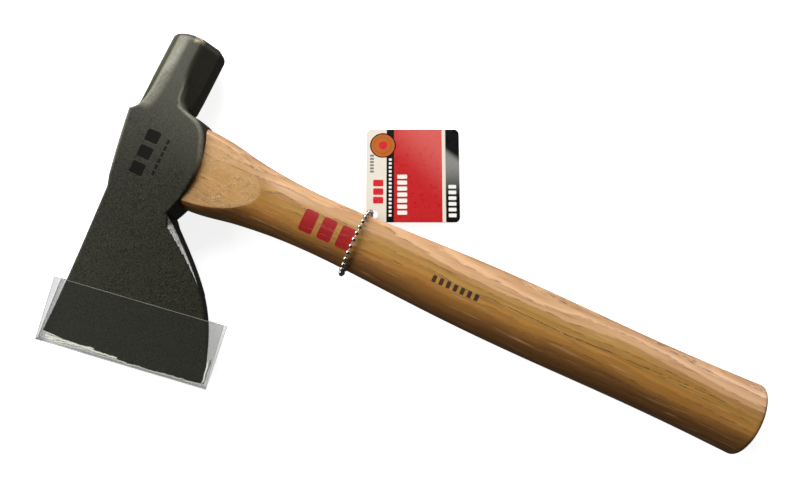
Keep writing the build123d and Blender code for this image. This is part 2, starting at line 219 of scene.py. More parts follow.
def head_paint():
    m = Material("head_paint")
    grain = m.noise((1.4, 1.4, 1.4), 5, 0.8)
    mottle = m.noise((0.10, 0.10, 0.10), 3, 0.6)
    color = m.mix(m.step(grain, 0.41, 0.60), (0.0012, 0.0012, 0.0006), (0.042, 0.042, 0.024))
    color = m.mix(m.step(mottle, 0.35, 0.7, 0.0, 0.35), color, (0.024, 0.024, 0.015))
    # painted sheen: the paint is coloured paler towards the poll and the cheek's upper right, where the key
    # light's sheen falls
    painted_sheen_slope = m.plus(m.times(m.x, 0.45), m.y)
    pale = m.mix(grain, (0.055, 0.055, 0.040), (0.10, 0.10, 0.075))
    color = m.mix(m.step(painted_sheen_slope, -5, 36, 0.0, 0.58), color, pale)
    # rubbed paint on the cheek's front edge, and painted highlights along the cheek's rear rim and on the
    # poll's front slant, brighten the paint here
    wear_and_painted_light = m.tree.nodes.new("ShaderNodeAttribute")
    wear_and_painted_light.attribute_name = "wear_and_painted_light"
    patchy = m.step(m.noise((0.9, 0.9, 0.9), 5, 0.8, shift=19), 0.25, 0.65, 0.3, 1.0)
    rubbed_and_painted_light = m.times(wear_and_painted_light.outputs["Fac"], patchy)
    color = m.mix(m.times(rubbed_and_painted_light, 0.85, clamp=True), color, (0.36, 0.35, 0.27))
    # painted shade: the paint is darkened on the wall below the cheek's rim, where shade falls
    painted_shade = m.step(wear_and_painted_light.outputs["Fac"], -0.1, -1.0)
    color = m.mix(m.times(painted_shade, 0.9), color, (0.004, 0.004, 0.0045))
    bars, small = head_marks(m)
    color = m.mix(m.times(bars, 0.95), color, (0.0035, 0.0035, 0.003))
    color = m.mix(m.times(small, 0.8), color, (0.004, 0.004, 0.003))
    # a small chipped spot on the rim of the striking face
    chip = m.times(m.stroke(m.x, m.z, (-8.2, 25.2), (-5.0, 24.6), 0.8, 0.6), m.step(m.y, 54.6, 56.4))
    chip = m.times(chip, m.step(m.noise((1.1, 1.1, 1.1), 3, 0.6, shift=3), 0.4, 0.55))
    color = m.mix(chip, color, (0.52, 0.40, 0.24))
    roughness = m.step(m.noise((0.5, 0.5, 0.5), 3, 0.6, shift=2), 0.3, 0.7, 0.36, 0.48)
    dull = m.most(bars, small, painted_shade)
    roughness = m.blend(dull, roughness, 0.75)
    m.set(Base_Color=color, Roughness=roughness, Specular_IOR_Level=m.blend(dull, 0.36, 0.12))
    m.set(Specular_Tint=(1.0, 0.98, 0.88))
    height = m.minus(m.noise((1.8, 1.8, 1.8), 4, 0.65, shift=11), m.times(bars, 0.8))
    m.bump(height, 0.09)
    return m.data


def ground_steel():
    """The bare bevel along the blade's rear side, with coarse grinding lines across it."""
    m = Material("ground_steel")
    lines = m.noise((1.2, 0.35, 4.0), 4, 0.75, 0.4)
    stain = m.noise((0.2, 0.2, 0.2), 3, 0.6, shift=4)
    color = m.mix(m.step(lines, 0.35, 0.65), (0.26, 0.25, 0.24), (0.86, 0.85, 0.82))
    color = m.mix(m.step(stain, 0.5, 0.75, 0.0, 0.5), color, (0.20, 0.17, 0.13))
    m.set(Base_Color=color, Metallic=0.8, Roughness=m.step(lines, 0.3, 0.7, 0.30, 0.52))
    m.bump(lines, 0.05)
    return m.data


RING_CENTRE = (-96.0, -34.0)  # the tree's centre from the handle's axis, along y and z
RING_PITCH = 3.3


def hickory(name, marks=True, tone=1.0):
    """Ring-porous wood: growth rings round a far centre, pore dashes, fibres, and heartwood and sapwood that
    also serve as painted shade and painted light.
    """
    m = Material(name)
    z = m.minus(m.z, MID_Z)
    wander = m.minus(m.noise((0.011, 0.05, 0.05), 3, 0.5), 0.5)
    ripple = m.minus(m.noise((0.05, 0.3, 0.3), 3, 0.55, shift=9), 0.5)
    y = m.plus(m.y, m.plus(m.times(wander, 16.0), m.times(ripple, 2.2)))
    dy = m.minus(y, RING_CENTRE[0])
    dz = m.minus(z, RING_CENTRE[1])
    far = m.length(dy, dz)
    ring = m.math("FRACT", m.math("DIVIDE", far, RING_PITCH))
    # broad colour: gold in the middle, pinkish sapwood above and brown heartwood below, laid along y so that
    # they also stand for painted light on the handle's upper side and painted shade on its lower side
    broad = m.noise((0.012, 0.10, 0.10), 3, 0.55, shift=1)
    streak = m.noise((0.035, 0.75, 0.75), 4, 0.6, 0.3, shift=6)
    color = m.mix(m.step(broad, 0.36, 0.64), (0.46, 0.228, 0.045), (0.54, 0.300, 0.074))
    sap_and_sheen = m.plus(y, m.times(m.minus(streak, 0.5), 3.5))
    color = m.mix(m.step(sap_and_sheen, 2.0, 12.0, 0.0, 0.9), color, (0.88, 0.54, 0.31))
    heart_and_shade = m.plus(y, m.times(m.minus(streak, 0.5), 8.0))
    color = m.mix(m.step(heart_and_shade, -3.0, -12.0, 0.0, 0.80), color, (0.155, 0.062, 0.018))
    color = m.mix(m.step(heart_and_shade, -6.5, -8.4, 0.0, 0.35), color, (0.150, 0.060, 0.016))
    warm = m.times(m.between(y, -10.0, -2.0, 2.5), 0.35)
    color = m.mix(warm, color, (0.62, 0.24, 0.035))
    color = m.mix(m.step(ring, 0.15, 1.0, 0.0, 0.42), color, (0.31, 0.130, 0.030))
    color = m.mix(m.step(streak, 0.52, 0.78, 0.0, 0.65), color, (0.25, 0.100, 0.026))
    color = m.mix(m.step(streak, 0.44, 0.22, 0.0, 0.55), color, (0.80, 0.500, 0.230))
    # open pores at each ring's start, as short dark dashes along the grain
    pores = m.step(m.noise((0.20, 2.6, 2.6), 3, 0.65, shift=13), 0.47, 0.56)
    porous = m.times(m.step(ring, 0.20, 0.06), m.step(ring, 0.0, 0.03))
    patch = m.step(m.noise((0.03, 0.2, 0.2), 2, 0.5, shift=17), 0.36, 0.54, 0.25, 1.0)
    pore = m.times(m.times(pores, porous), patch)
    color = m.mix(m.times(pore, 0.8), color, (0.12, 0.050, 0.016))
    fibre = m.noise((0.12, 5.0, 5.0), 3, 0.6, shift=21)
    deeper = m.mix(1.0, color, (0.62, 0.55, 0.46), "MULTIPLY")
    color = m.mix(m.step(fibre, 0.3, 0.7, 0.0, 0.30), color, deeper)
    height = m.minus(m.times(fibre, 0.35), m.times(pore, 0.9))
    roughness = m.step(fibre, 0.3, 0.7, 0.30, 0.42)
    if marks:
        # one long drying crack, and slanted cut pores along the upper edge of the grip
        bend = m.times(m.math("SINE", m.math("DIVIDE", m.x, 26.0)), 0.9)
        line = m.plus(m.y, m.plus(bend, m.times(ripple, 1.6)))
        crack = m.step(m.math("ABSOLUTE", m.minus(line, 1.2)), 0.34, 0.10)
        broken = m.step(m.noise((0.22, 0.1, 0.1), 3, 0.7, shift=31), 0.40, 0.56)
        crack = m.times(crack, m.times(broken, m.between(m.x, 172, 300, 6)))
        crack = m.times(crack, m.step(z, 3, 6))
        slant = m.plus(m.x, m.times(m.y, 2.6))
        cell = m.math("FLOORED_MODULO", slant, 7.4)
        edge = m.between(m.y, 15.2, 16.7, 0.3)
        cuts = m.times(m.between(cell, 1.2, 3.9, 0.5), m.times(edge, m.step(z, 5.5, 8)))
        cuts = m.times(cuts, m.between(m.x, 168, 292, 8))
        dark = m.most(crack, cuts)
        color = m.mix(m.times(dark, 0.72), color, (0.10, 0.05, 0.022))
        height = m.minus(height, m.times(dark, 0.6))
        # the sawn shoulder: paler, matt, with rows of raised fibres
        flat = m.times(m.step(m.math("ABSOLUTE", z), 9.80, 9.88), m.step(m.x, 59.5, 57.5))
        rough = m.noise((0.5, 0.9, 0.9), 4, 0.7, shift=41)
        pale = m.mix(m.step(rough, 0.3, 0.7), (0.46, 0.245, 0.070), (0.66, 0.385, 0.140))
        color = m.mix(m.times(flat, 0.55), color, pale)
        rows = m.most(
            m.stroke(m.x, m.y, (25.5, 2.0), (32.0, 15.0), 1.8, 1.6),
            m.stroke(m.x, m.y, (34.0, -10.0), (41.0, 4.0), 1.8, 1.6),
            m.stroke(m.x, m.y, (45.5, 2.5), (50.5, -5.5), 3.0, 1.6),
            m.stroke(m.x, m.y, (50.0, -6.0), (36.0, -15.5), 2.6, 1.6),
        )
        fleck = m.step(m.noise((0.7, 2.4, 0.8), 4, 0.75, 0.5, shift=51), 0.48, 0.60)
        fleck = m.times(fleck, m.times(rows, flat))
        color = m.mix(m.times(fleck, 0.55), color, (0.86, 0.62, 0.33))
        height = m.plus(height, m.times(flat, m.times(rough, 0.8)))
        height = m.plus(height, m.times(fleck, 0.9))
        roughness = m.blend(flat, roughness, 0.66)
        # plain printed marks on the upper side: three red bars and a row of dark dashes
        top = m.step(z, 4.0, 5.0)
        red = m.most(*[m.bar(m.x, m.y, (x, -1.2), (3.5, 5.6), 1.2) for x in (80.4, 90.1, 99.8)])
        ink = m.step(m.noise((0.9, 1.6, 1.6), 3, 0.7, shift=61), 0.25, 0.42, 0.75, 1.0)
        color = m.mix(m.times(m.times(red, ink), top), color, (0.37, 0.010, 0.012))
        stamp = m.dashes(m.x, m.y, (146.5, -1.4), 3.6, 7, (1.0, 1.7), 0.4)
        color = m.mix(m.times(m.times(stamp, top), 0.92), color, (0.022, 0.014, 0.010))
    if tone != 1.0:
        color = m.mix(1.0, color, (tone, tone, tone), "MULTIPLY")
    m.set(Base_Color=color, Roughness=roughness)
    m.set(Coat_Weight=0.2, Coat_Roughness=0.16)
    m.bump(height, 0.10)
    return m.data


def wedge_steel():
    m = Material("wedge_steel")
    lines = m.noise((0.3, 3.0, 3.0), 3, 0.6)
    color = m.mix(lines, (0.30, 0.29, 0.28), (0.55, 0.54, 0.52))
    rust = m.step(m.noise((0.7, 0.7, 0.7), 4, 0.7, shift=5), 0.58, 0.75)
    color = m.mix(m.times(rust, 0.6), color, (0.22, 0.10, 0.045))
    m.set(Base_Color=color, Metallic=m.blend(rust, 0.95, 0.3), Roughness=m.blend(rust, 0.38, 0.7))
    m.bump(lines, 0.04)
    return m.data


def nickel():
    m = Material("chain_nickel")
    swirl = m.noise((1.6, 1.6, 1.6), 3, 0.6)
    color = m.mix(swirl, (0.40, 0.375, 0.32), (0.68, 0.65, 0.58))
    tarnish = m.step(m.noise((0.45, 0.45, 0.45), 3, 0.6, shift=3), 0.52, 0.75)
    color = m.mix(m.times(tarnish, 0.5), color, (0.30, 0.25, 0.18))
    m.set(Base_Color=color, Metallic=1.0, Roughness=m.step(swirl, 0.3, 0.7, 0.16, 0.30))
    m.bump(m.noise((3.0, 3.0, 3.0), 2, 0.5, shift=8), 0.02)
    return m.data


GUARD_TURN = math.radians(8.5)  # between the guard's fold and the handle
GUARD_MOUTH = 72.0
GUARD_FOLD = 103.2
GUARD_ENDS = (-31.5, 54.3)


def guard_film():
    """Clear sheet: almost unseen over the blade, greyer where it is folded or cut, with painted glints near
    the fold and painted highlights along its cut edges.
    """
    m = Material("guard_film")
    s = m.dot(m.place, (math.cos(GUARD_TURN), math.sin(GUARD_TURN), 0))
    t = m.dot(m.place, (math.sin(GUARD_TURN), -math.cos(GUARD_TURN), 0))
    waves = m.minus(m.noise((0.09, 0.09, 0.09), 3, 0.6), 0.5)
    fine = m.minus(m.noise((0.5, 0.5, 0.5), 3, 0.6, shift=5), 0.5)
    bent = m.plus(t, m.plus(m.times(waves, 3.0), m.times(fine, 1.2)))
    side = m.plus(s, m.times(waves, 3.0))
    fold = m.step(t, GUARD_FOLD - 1.6, GUARD_FOLD - 0.3)
    rims = m.most(
        m.step(t, GUARD_MOUTH + 0.28, GUARD_MOUTH + 0.1),
        m.step(s, GUARD_ENDS[0] + 0.28, GUARD_ENDS[0] + 0.1),
        m.step(s, GUARD_ENDS[1] - 0.28, GUARD_ENDS[1] - 0.1),
    )
    # painted glints: whitish streaks near the fold and a line at the heel end, given more alpha
    glints = m.most(
        m.stroke(s, bent, (-27.0, 99.6), (9.0, 101.0), 0.40, 0.3),
        m.stroke(s, bent, (-22.0, 101.3), (-3.0, 99.7), 0.35, 0.3),
        m.times(m.between(bent, 101.6, 101.9, 0.2), m.between(s, -28, 50, 3)),
        m.times(m.between(side, 51.6, 52.4, 0.25), m.between(t, 90, 101, 2)),
    )
    clear = m.times(m.noise((0.03, 0.03, 0.03), 2, 0.5, shift=9), 0.05)
    alpha = m.plus(m.plus(clear, 0.17), m.times(fold, 0.15))
    alpha = m.plus(alpha, m.step(s, GUARD_ENDS[0] + 6.5, GUARD_ENDS[0] + 1.5, 0.0, 0.16))
    alpha = m.plus(alpha, m.times(rims, 0.30))
    alpha = m.plus(alpha, m.times(glints, 0.60), clamp=True)
    # painted highlight: the glints and, more faintly, the cut edges are coloured near white
    painted_highlight = m.math("MAXIMUM", glints, m.times(rims, 0.5))
    color = m.mix(painted_highlight, (0.060, 0.062, 0.055), (0.95, 0.94, 0.80))
    m.set(Base_Color=color, Alpha=alpha, Roughness=m.step(fine, -0.2, 0.2, 0.05, 0.12))
    m.set(IOR=1.5)
    m.bump(m.plus(waves, m.times(fine, 0.2)), 0.3, 0.6)
    return m.data


TAG_TURN = math.radians(24.6)
TAG_HOLE = (105.2, 17.6)
TAG_HOLE_INSET = (3.9, 4.1)


def tag_card():
    """Printed bands and plain shapes on a laminated card; u and v start at its lower left corner."""
    m = Material("tag_card")
    dx = m.minus(m.x, TAG_HOLE[0])
    dy = m.minus(m.y, TAG_HOLE[1])
    c, s = math.cos(TAG_TURN), math.sin(TAG_TURN)
    u = m.plus(m.times(dx, c), m.times(dy, s))
    v = m.minus(m.times(dy, c), m.times(dx, s))
    u = m.plus(u, TAG_HOLE_INSET[0])
    v = m.plus(v, TAG_HOLE_INSET[1])
    cream, black, white = (0.80, 0.74, 0.64), (0.0015, 0.0015, 0.0018), (0.90, 0.89, 0.84)
    mottle = m.noise((0.45, 0.45, 0.45), 3, 0.6)
    shade = m.step(m.plus(u, v), 45, 82)
    red = m.mix(mottle, (0.47, 0.010, 0.014), (0.58, 0.022, 0.022))
    red = m.mix(m.times(shade, 0.55), red, (0.80, 0.20, 0.17))
    grey = m.step(m.plus(v, m.times(u, 0.75)), 71.0, 66.0)
    grey = m.times(grey, m.step(v, 12.0, 32.0))
    dark = m.mix(m.times(grey, 0.95), black, (0.27, 0.265, 0.25))
    color = m.mix(m.step(u, 10.3, 10.5), cream, black)
    color = m.mix(m.step(u, 14.1, 14.3), color, red)
    color = m.mix(m.step(u, 38.7, 38.9), color, cream)
    color = m.mix(m.step(u, 40.5, 40.7), color, dark)
    # plain shapes where the card carries print
    line = m.dashes(v, u, (3.6, 12.3), 2.1, 15, (0.6, 0.75), 0.25)
    color = m.mix(line, color, white)
    color = m.mix(m.dashes(v, u, (5.0, 18.4), 3.15, 7, (1.05, 2.5), 0.5), color, white)
    color = m.mix(m.dashes(v, u, (3.6, 43.9), 3.0, 6, (0.95, 2.0), 0.4), color, white)
    red_bars = m.most(*[m.bar(u, v, (6.2, y), (2.6, 1.75), 0.6) for y in (11.5, 16.0, 20.5)])
    color = m.mix(red_bars, color, (0.66, 0.02, 0.03))
    small = m.dashes(v, u, (26.6, 2.9), 1.7, 6, (0.55, 1.0), 0.3)
    color = m.mix(m.times(small, 0.8), color, (0.06, 0.07, 0.11))
    ru, rv = m.minus(u, 8.5), m.minus(v, 40.6)
    radius = m.length(ru, rv)
    color = m.mix(m.step(radius, 6.75, 6.55), color, black)
    orange = m.mix(mottle, (0.45, 0.10, 0.012), (0.56, 0.155, 0.025))
    color = m.mix(m.step(radius, 6.15, 5.95), color, orange)
    color = m.mix(m.times(m.between(radius, 4.2, 4.5, 0.1), 0.6), color, (0.20, 0.07, 0.01))
    color = m.mix(m.step(radius, 2.3, 2.1), color, (0.62, 0.02, 0.025))
    # the card's cut edge and its back are plain
    up = m.tree.nodes.new("ShaderNodeNewGeometry").outputs["Normal"]
    upward = m.split(up)[2]
    color = m.mix(m.step(upward, 0.5, 0.7), m.mix(mottle, (0.72, 0.69, 0.61), (0.80, 0.77, 0.70)), color)
    m.set(Base_Color=color, Roughness=m.step(mottle, 0.3, 0.7, 0.26, 0.36))
    m.set(Specular_IOR_Level=0.25, Coat_Weight=0.12, Coat_Roughness=0.12)
    warp = m.noise((0.05, 0.05, 0.05), 2, 0.5, shift=3)
    m.bump(m.plus(warp, m.times(mottle, 0.1)), 0.15, 0.5)
    return m.data


# -------------------------------------------------------------------- geometry
def dress(node, *materials):
    """Gives a CAD node its finish."""
    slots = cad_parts[node].data.materials
    slots.clear()
    for material in materials:
        slots.append(material)


def link(name, points, faces, materials=(), body=None, replaced=()):
    """Makes a smooth piece from points in millimetres; a cutter rides on no body."""
    mesh = bpy.data.meshes.new(name)
    mesh.from_pydata([tuple(p) for p in np.asarray(points) * MM], [], faces)
    mesh.validate()
    for material in materials:
        mesh.materials.append(material)
    mesh.polygons.foreach_set("use_smooth", [True] * len(mesh.polygons))
    piece = bpy.data.objects.new(name, mesh)
    bpy.context.scene.collection.objects.link(piece)
    if body:
        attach(piece, body)
    if replaced:
        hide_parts(*replaced)
    return piece


def cut(piece, tool):
    """Takes one object's shape out of a piece, for good."""
    modifier = piece.modifiers.new("cut", "BOOLEAN")
    modifier.object = tool
    modifier.operation = "DIFFERENCE"
    modifier.solver = "EXACT"
    bpy.context.view_layer.update()
    result = bpy.data.meshes.new_from_object(piece.evaluated_get(bpy.context.evaluated_depsgraph_get()))
    piece.modifiers.remove(modifier)
    old = piece.data
    piece.data = result
    bpy.data.meshes.remove(old)


def sharpen(piece, degrees):
    """Smooth shading that breaks at edges sharper than this."""
    mesh = piece.data
    mesh.polygons.foreach_set("use_smooth", [True] * len(mesh.polygons))
    mesh.set_sharp_from_angle(angle=math.radians(degrees))


def grid_faces(rows, columns, first=0, turned=False, closed=False):
    """Quads of a grid of points stored row by row; closed joins the last column to the first."""
    faces = []
    for i in range(rows - 1):
        for j in range(columns if closed else columns - 1):
            k = (j + 1) % columns
            quad = (i * columns + j, i * columns + k, (i + 1) * columns + k, (i + 1) * columns + j)
            faces.append(tuple(first + v for v in (reversed(quad) if turned else quad)))
    return faces


# the head's outline, from the poll down to the cutting edge
POLL_FACE_Y, POLL_HALF, POLL_X = 59.6, 13.05, -9.75
POLL_RIM = 4.0  # rounding round the striking face
SHOULDER = (-22.8, 13.3)
NECK_CORNER = (3.3, 23.6)
EYE_TOP, EYE_BACK, THROAT = (14.3, 21.4), (21.2, -3.0), (16.6, -26.3)
CORNER_CURVE = [NECK_CORNER, (5.4, 22.6), (9.7, 22.1), EYE_TOP]
EYE_FRONT_LOW, BLADE_FRONT_TOP = (-17.0, -20.5), (-15.5, -26.0)
TOE, HEEL = (-15.0, -101.4), (67.1, -92.2)
REAR_CURVE = [THROAT, (32.4, -39.4), (55.3, -64.7), HEEL]
EDGE_SAG = 2.1  # how far the cutting edge bows out between toe and heel
EDGE_ANGLE = math.atan2(HEEL[1] - TOE[1], HEEL[0] - TOE[0])
EDGE_UP = (-math.sin(EDGE_ANGLE), math.cos(EDGE_ANGLE))
EDGE_LOW = 26.4 * EDGE_UP[0] - 98.9 * EDGE_UP[1]  # the edge's lowest point, along EDGE_UP

# its thickness: cheeks, taper and cutting edge
CHEEK_END, TAPER_START, TAPER_POWER, EDGE_HALF = -10.0, 7.0, 1.35, 0.25
EDGE_RADII = (1.2, 0.95)  # rounding of the poll's and the cheeks' edges

# the octagonal poll, and the neck where it runs into the cheek; values for the front and rear slant
POLL_SLANTS = (18.0, 17.9)  # distance across x plus distance up
POLL_ROUNDING = (4.2, 1.2)
POLL_CROWN = 0.00374  # per millimetre from the poll's middle
POLL_END_Y, NECK_END_Y = 10.0, 22.3
NECK_LEFT = [SHOULDER, (-20.0, 15.8), (-17.9, 20.6), (-16.9, 26.5), (-16.7, 33.0), (-16.9, 60.0)]
NECK_RIGHT = [(5.0, 22.3), (0.5, 24.0), (-1.5, 26.6), (-2.3, 31.0), (-3.5, 38.0), (-5.0, 48.0), (-5.3, 60.0)]

# the cheek's rear rim, and the wall that falls away behind it
CHEEK_CORNER = [(-0.4, 23.6), (4.5, 22.0), (9.9, 20.3), (14.2, 16.8), (17.6, 10.6), (20.2, 3.0), (21.2, -3.0)]
CORNER_SLOPE, CORNER_ROUND = 2.6, 0.4

# the ground bevel; its end and its rise are shares of the blade's rear side and of the bevel
BEVEL_WIDTH, BEVEL_END, BEVEL_RISE, BEVEL_RADIUS = 3.4, 0.5, 0.16, 0.15

# how finely the head is divided
RIM_ROWS, POLL_ROWS, CORNER_ROWS, CHEEK_ROWS, FOOT_ROWS, BLADE_ROWS = 8, 58, 30, 90, 19, 150
MIDDLE_COLUMNS = 76
EDGE_STEPS = (0, 0.03, 0.13, 0.3, 0.55, 0.9, 1.3)  # columns beside the outline, in millimetres from it

# the eye, and the head's front face
EYE_FRONT_X, EYE_REAR_X = -26.0, 26.0
EYE_HALVES = (16.5, 7.75)  # at the rear, along y and z
EYE_FLARE = 1.2
FACE_TURN = math.atan2(SHOULDER[0] - EYE_FRONT_LOW[0], SHOULDER[1] - EYE_FRONT_LOW[1])
TENON_FRONT_X, TENON_ROOT_X, TENON_PROUD = -24.0, 14.0, 0.6
FIT_GAP = 0.08  # round the wood that sits in the head


def arc(start, middle, end, count):
    """Points on the circle through three points."""
    (ax, ay), (bx, by), (cx, cy) = start, middle, end
    d = 2 * (ax * (by - cy) + bx * (cy - ay) + cx * (ay - by))
    a2, b2, c2 = ax * ax + ay * ay, bx * bx + by * by, cx * cx + cy * cy
    ux = (a2 * (by - cy) + b2 * (cy - ay) + c2 * (ay - by)) / d
    uy = (a2 * (cx - bx) + b2 * (ax - cx) + c2 * (bx - ax)) / d
    first = math.atan2(ay - uy, ax - ux)
    last = math.atan2(cy - uy, cx - ux)
    turn = (last - first + math.pi) % (2 * math.pi) - math.pi
    radius = math.hypot(ax - ux, ay - uy)
    angles = first + turn * np.linspace(0, 1, count)
    return np.c_[ux + radius * np.cos(angles), uy + radius * np.sin(angles)]


def smooth_path(points, count):
    """A smooth line through a few points: a cubic spline over the length between them."""
    points = np.array(points, float)
    knots = np.r_[0, np.cumsum(np.linalg.norm(np.diff(points, axis=0), axis=1))]
    size = len(points)
    system, wanted = np.zeros((size, size)), np.zeros((size, points.shape[1]))
    system[0, 0] = system[-1, -1] = 1
    gaps = np.diff(knots)
    for i in range(1, size - 1):
        system[i, i - 1 : i + 2] = gaps[i - 1], 2 * (gaps[i - 1] + gaps[i]), gaps[i]
        wanted[i] = 6 * ((points[i + 1] - points[i]) / gaps[i] - (points[i] - points[i - 1]) / gaps[i - 1])
    second = np.linalg.solve(system, wanted)
    at = np.linspace(0, knots[-1], count)
    k = np.clip(np.searchsorted(knots, at, side="right") - 1, 0, size - 2)
    g, a, b = gaps[k][:, None], (knots[k + 1] - at)[:, None], (at - knots[k])[:, None]
    return (
        second[k] * a**3 / (6 * g)
        + second[k + 1] * b**3 / (6 * g)
        + (points[k] / g - second[k] * g / 6) * a
        + (points[k + 1] / g - second[k + 1] * g / 6) * b
    )


def distance_to(points, path):
    """Shortest distance from each point to a polyline."""
    best = np.full(len(points), np.inf)
    for a, b in zip(path[:-1], path[1:]):
        ab = b - a
        share = np.clip(((points - a) @ ab) / max(ab @ ab, 1e-12), 0, 1)
        best = np.minimum(best, np.hypot(*(points - a - share[:, None] * ab).T))
    return best


FAR = 9.0  # millimetres from a path where its side no longer counts


def beside_path(points, path):
    """Distance of each point from a path that climbs along y; positive where x is larger."""
    on_path = np.interp(points[:, 1], *path.T[::-1])
    return distance_to(points, path) * np.where(points[:, 0] > on_path, 1, -1)


def beyond_path(points, path):
    """Distance of each point to the left of a path; negative to its right, and far from it."""
    nearest = np.full(len(points), np.inf)
    signed = np.full(len(points), -FAR)
    for a, b in zip(path[:-1], path[1:]):
        ab = b - a
        share = np.clip(((points - a) @ ab) / (ab @ ab), 0, 1)
        offset = points - a - share[:, None] * ab
        away = np.hypot(*offset.T)
        left = np.sign(ab[0] * offset[:, 1] - ab[1] * offset[:, 0])
        signed = np.where(away < nearest, away * left, signed)
        nearest = np.minimum(nearest, away)
    return np.where(nearest > FAR, -FAR, signed)


def smooth_min(a, b, width):
    """The lower of two heights, rounded where they cross."""
    share = np.clip(0.5 + 0.5 * (b - a) / width, 0, 1)
    return b + (a - b) * share - width * share * (1 - share)


def ease(value, low, high):
    share = np.clip((value - low) / (high - low), 0, 1)
    return share * share * (3 - 2 * share)


def head_rows():
    """Pairs of points on the head's front and rear outline, from the poll to the cutting edge."""
    pairs = []
    for depth in POLL_RIM * (1 - np.cos(np.linspace(0, math.pi / 2, RIM_ROWS + 1)[:-1])):
        inset = POLL_RIM - math.sqrt(POLL_RIM**2 - (POLL_RIM - depth) ** 2)
        y = POLL_FACE_Y - depth
        pairs.append(((POLL_X - POLL_HALF + inset, y), (POLL_X + POLL_HALF - inset, y), 0))

    def add(front, rear, sag=(0, 0)):
        """Rows between two matching stretches of outline; the last point starts the next."""
        for k in range(len(front) - 1):
            share = k / (len(front) - 1)
            pairs.append((front[k], rear[k], sag[0] + (sag[1] - sag[0]) * share**2))

    top = POLL_FACE_Y - POLL_RIM
    beside_neck = (SHOULDER[0], NECK_CORNER[1])
    poll_front = np.linspace((SHOULDER[0], top), beside_neck, POLL_ROWS)
    add(poll_front, np.linspace((POLL_X + POLL_HALF, top), NECK_CORNER, POLL_ROWS))
    add(np.linspace(beside_neck, SHOULDER, CORNER_ROWS), smooth_path(CORNER_CURVE, CORNER_ROWS))
    cheek_front = np.linspace(SHOULDER, EYE_FRONT_LOW, CHEEK_ROWS - FOOT_ROWS + 1)
    foot = np.linspace(EYE_FRONT_LOW, BLADE_FRONT_TOP, FOOT_ROWS)
    add(np.r_[cheek_front[:-1], foot], arc(EYE_TOP, EYE_BACK, THROAT, CHEEK_ROWS))
    blade = smooth_path(REAR_CURVE, BLADE_ROWS)
    add(np.linspace(BLADE_FRONT_TOP, TOE, BLADE_ROWS), blade, (0, EDGE_SAG))
    pairs.append((TOE, HEEL, EDGE_SAG))
    return pairs, blade


def head_plan():
    """The head's mesh points seen from above, row by row, and the blade's rear side."""
    pairs, blade = head_rows()
    ends = np.array(EDGE_STEPS)
    plan = []
    for front, rear, sag in pairs:
        front, rear = np.array(front, float), np.array(rear, float)
        length = np.hypot(*(rear - front))
        middle = np.linspace(ends[-1] / length, 1 - ends[-1] / length, MIDDLE_COLUMNS)
        shares = np.r_[ends[:-1] / length, middle, (1 - ends[:-1] / length)[::-1]]
        row = front + shares[:, None] * (rear - front)
        bow = sag * 4 * shares * (1 - shares)
        row[:, 0] += bow * EDGE_ANGLE
        row[:, 1] -= bow
        plan.append(row)
    return np.array(plan), blade


def plate_height(x, y):
    """Half thickness of the flat cheeks and of the blade, which tapers to its edge."""
    up = x * EDGE_UP[0] + y * EDGE_UP[1]
    below = TAPER_START * np.logaddexp(0, (CHEEK_END - up) / TAPER_START)
    share = np.clip(below / (CHEEK_END - EDGE_LOW), 0, 1)
    return EDGE_HALF + (MID_Z - EDGE_HALF) * (1 - share) ** TAPER_POWER


def poll_height(x, y):
    """Half thickness of the octagonal poll, which shrinks towards its face by the rounded rim."""
    depth = np.clip(POLL_FACE_Y - y, 0, POLL_RIM)
    inset = POLL_RIM - np.sqrt(POLL_RIM**2 - (POLL_RIM - depth) ** 2)
    beside = np.abs(x - POLL_X)
    slant = np.where(x < POLL_X, *POLL_SLANTS)
    crown = POLL_CROWN * beside**2 * ease(y, 24, 34)
    return smooth_min(
        MID_Z - inset - crown, slant - math.sqrt(2) * inset - beside, np.where(x < POLL_X, *POLL_ROUNDING)
    )


def neck_share(y, left, right):
    """1 where the neck between the poll and the cheek has the cheek's full height, 0 on the poll."""
    front = ease(left, -2.6, 1.4)
    share = np.where(y < NECK_END_Y, front, np.minimum(front, ease(right, -1.6, 0.5)))
    return np.where(y < SHOULDER[1], 1, share * (1 - ease(y, 33, 50)))


def bevel_drop(points, blade):
    """How far the ground bevel lies below the cheek, close to the blade's rear side."""
    path = blade[: int(len(blade) * BEVEL_END)]
    along = np.linspace(0, 1, len(path))
    widths = BEVEL_WIDTH * ease(along, 0, BEVEL_RISE) * (1 - along)
    behind = distance_to(points, path)
    close = behind < BEVEL_WIDTH + 1
    nearest = [np.argmin(np.hypot(*(path - p).T)) for p in points[close]]
    bevel = np.zeros(len(points))
    bevel[close] = widths[nearest]
    return np.maximum(bevel - behind, 0)


def shell_faces(rows, columns):
    """An upper grid, a lower grid stored after it, and the wall between them."""
    size = rows * columns
    faces = grid_faces(rows, columns, 0, True) + grid_faces(rows, columns, size)
    border = [(i, 0) for i in range(rows)]
    border += [(rows - 1, j) for j in range(1, columns)]
    border += [(i, columns - 1) for i in range(rows - 2, -1, -1)]
    border += [(0, j) for j in range(columns - 2, 0, -1)]
    ring = [i * columns + j for i, j in border]
    for a, b in zip(ring, ring[1:] + ring[:1]):
        faces.append((a, a + size, b + size, b))
    return faces


